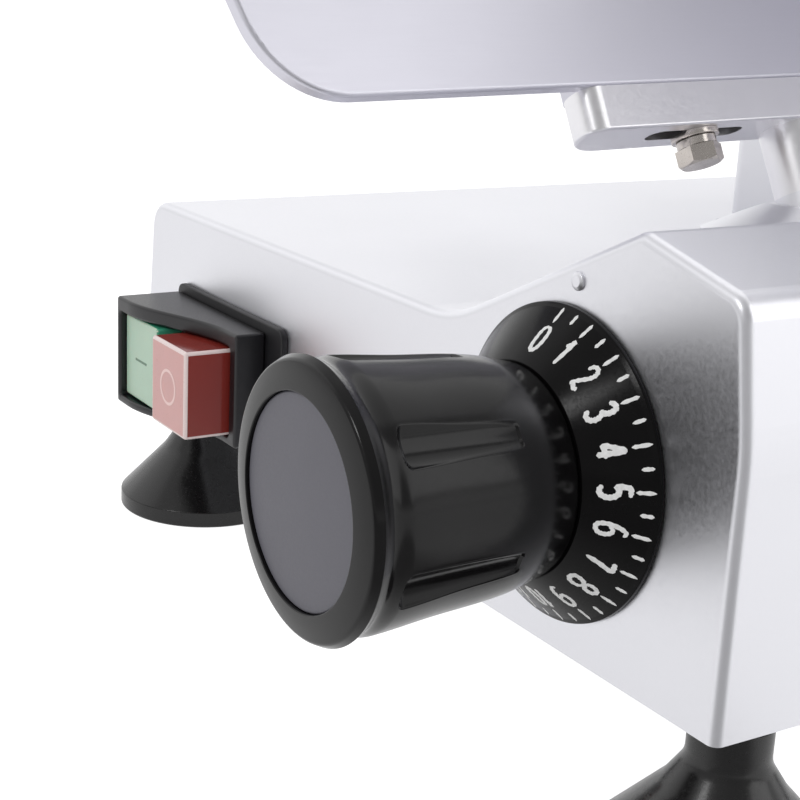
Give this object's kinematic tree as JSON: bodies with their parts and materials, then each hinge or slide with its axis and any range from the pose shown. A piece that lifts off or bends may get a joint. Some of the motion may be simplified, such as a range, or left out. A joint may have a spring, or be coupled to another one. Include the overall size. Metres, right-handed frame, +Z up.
{
  "type": "meat slicer",
  "caption": "Gravity feed meat slicer with a tilted round blade, thickness knob with numbered dial, gauge plate, sliding product tray with pusher, push button switch and rubber feet.",
  "frame": {"origin": "On the floor at the centre of the four feet, which is the centre of the foot pattern.", "axes": "+Z is up, +X points to the operator's right, away from the blade's motor side, and +Y points from the operator, who stands at the knob and switch, to the back."},
  "size_m": [0.366, 0.447, 0.3737],
  "materials": {
    "cast_base": "satin cast and anodised",
    "anodised_plate": "satin anodised",
    "aluminium_inner": "machined",
    "sheet_steel": "brushed sheet",
    "steel_fasteners": "bright machined",
    "steel_bar": "ground bar",
    "blade_steel": "ground and polished",
    "motor_iron": "painted iron",
    "bronze": "sintered",
    "foot_rubber": "smooth moulded",
    "seal_rubber": "matt sheet",
    "belt_rubber": "matt",
    "black_plastic": "semi gloss",
    "knob_plastic": "gloss moulded",
    "dial_plastic": "gloss with white filled marks",
    "cap_plastic": "matt disc",
    "green_plastic": "translucent moulded",
    "red_plastic": "translucent moulded",
    "white_plastic": "plain",
    "abrasive": "bonded grit"
  },
  "bodies": {
    "base": {"base_housing": "cast_base", "bottom_cover": "sheet_steel", "cover_screws": "steel_fasteners", "rubber_feet": "foot_rubber", "foot_screws": "steel_fasteners", "switch_gasket": "seal_rubber", "switch_bezel": "black_plastic", "switch_body": "black_plastic", "index_pin": "steel_fasteners", "spindle_bush": "bronze", "gauge_guide_bar": "steel_bar", "guide_bar_brackets": "aluminium_inner", "head_casting": "cast_base", "head_bolts": "steel_fasteners", "blade_bearings": "steel_bar", "motor_body": "motor_iron", "drive_belt": "belt_rubber", "motor_cover": "cast_base", "ring_guard": "anodised_plate", "blade_cover": "anodised_plate", "tie_rod": "steel_bar", "slice_deflector": "sheet_steel", "carriage_guide_bar": "steel_bar", "cable_gland": "black_plastic"},
    "thickness_dial": {"thickness_knob": "knob_plastic", "knob_cap": "cap_plastic", "dial_ring": "dial_plastic", "knob_spindle": "steel_bar", "scroll_plate": "aluminium_inner"},
    "gauge": {"gauge_slider": "cast_base", "follower_pin": "steel_bar", "gauge_arm": "anodised_plate", "gauge_arm_bolt": "steel_fasteners", "gauge_plate": "anodised_plate", "gauge_plate_bolt": "steel_fasteners", "gauge_plate_washers": "steel_fasteners"},
    "cutting_disc": {"blade": "blade_steel", "blade_hub": "aluminium_inner", "blade_screws": "steel_fasteners", "blade_pulley": "aluminium_inner"},
    "rotor": {"motor_rotor": "motor_iron", "motor_pulley": "aluminium_inner"},
    "start_key": {"start_button": "green_plastic"},
    "stop_key": {"stop_button": "red_plastic"},
    "tie_knob": {"tie_rod_knob": "knob_plastic"},
    "sharpener": {"sharpener_housing": "anodised_plate"},
    "stone_slider": {"stone_spindle": "steel_bar"},
    "stone": {"grinding_stone": "abrasive"},
    "carriage": {"carriage_slider": "aluminium_inner", "carriage_arm": "cast_base", "product_tray": "anodised_plate", "tray_fence": "anodised_plate", "carriage_handle": "knob_plastic", "pusher_rod": "steel_bar"},
    "lock_knob": {"carriage_lock_knob": "knob_plastic"},
    "pusher_slider": {"pusher_bush": "white_plastic"},
    "pusher": {"pusher_arm": "anodised_plate", "pusher_plate": "anodised_plate", "pusher_knob": "knob_plastic"}
  },
  "joints": [
    {"name": "knob_turn", "type": "hinge", "parent": "base", "child": "thickness_dial", "pos_m": [0.077, -0.155, 0.07475], "axis": [0, -1, 0], "range_deg": [0, 250]},
    {"name": "gauge_slide", "type": "slide", "parent": "base", "child": "gauge", "axis": [-1, 0, 0], "range_m": [0, 0.0168]},
    {"name": "blade_spin", "type": "hinge", "parent": "base", "child": "cutting_disc", "pos_m": [-0.05017, 0.071, 0.23843], "axis": [0.891, 0, 0.454], "continuous": true},
    {"name": "motor_spin", "type": "hinge", "parent": "base", "child": "rotor", "pos_m": [-0.03201, 0.123, 0.20279], "axis": [0.891, 0, 0.454], "continuous": true},
    {"name": "start_press", "type": "slide", "parent": "base", "child": "start_key", "axis": [0, 1, 0], "range_m": [0, 0.003], "stiffness_N_per_m": 400, "springref_m": -0.002},
    {"name": "stop_press", "type": "slide", "parent": "base", "child": "stop_key", "axis": [0, 1, 0], "range_m": [0, 0.003], "stiffness_N_per_m": 400, "springref_m": -0.002},
    {"name": "tie_knob_turn", "type": "hinge", "parent": "base", "child": "tie_knob", "pos_m": [-0.14462, 0.071, 0.19031], "axis": [0.891, 0, 0.454], "continuous": true},
    {"name": "sharpener_lift", "type": "slide", "parent": "base", "child": "sharpener", "axis": [-0.454, 0, 0.891], "range_m": [0, 0.02]},
    {"name": "stone_press", "type": "slide", "parent": "sharpener", "child": "stone_slider", "axis": [0.891, 0, 0.454], "range_m": [0, 0.005], "stiffness_N_per_m": 200, "springref_m": -0.003},
    {"name": "stone_spin", "type": "hinge", "parent": "stone_slider", "child": "stone", "pos_m": [-0.11421, 0.075, 0.33767], "axis": [0.891, 0, 0.454], "continuous": true},
    {"name": "carriage_slide", "type": "slide", "parent": "base", "child": "carriage", "axis": [0, -1, 0], "range_m": [0, 0.22]},
    {"name": "lock_knob_turn", "type": "hinge", "parent": "carriage", "child": "lock_knob", "pos_m": [0.163, 0.117, 0.062], "axis": [1, 0, 0], "continuous": true},
    {"name": "pusher_slide", "type": "slide", "parent": "carriage", "child": "pusher_slider", "axis": [0.891, 0, 0.454], "range_m": [0, 0.12]},
    {"name": "pusher_swing", "type": "hinge", "parent": "pusher_slider", "child": "pusher", "pos_m": [-0.01086, 0.022, 0.24499], "axis": [0.891, 0, 0.454], "range_deg": [0, 110]}
  ],
  "couplings": [
    {"joint": "knob_turn", "follows": "gauge_slide", "rad_per_m": 259.72},
    {"joint": "motor_spin", "follows": "blade_spin", "ratio": 2.0625}
  ]
}
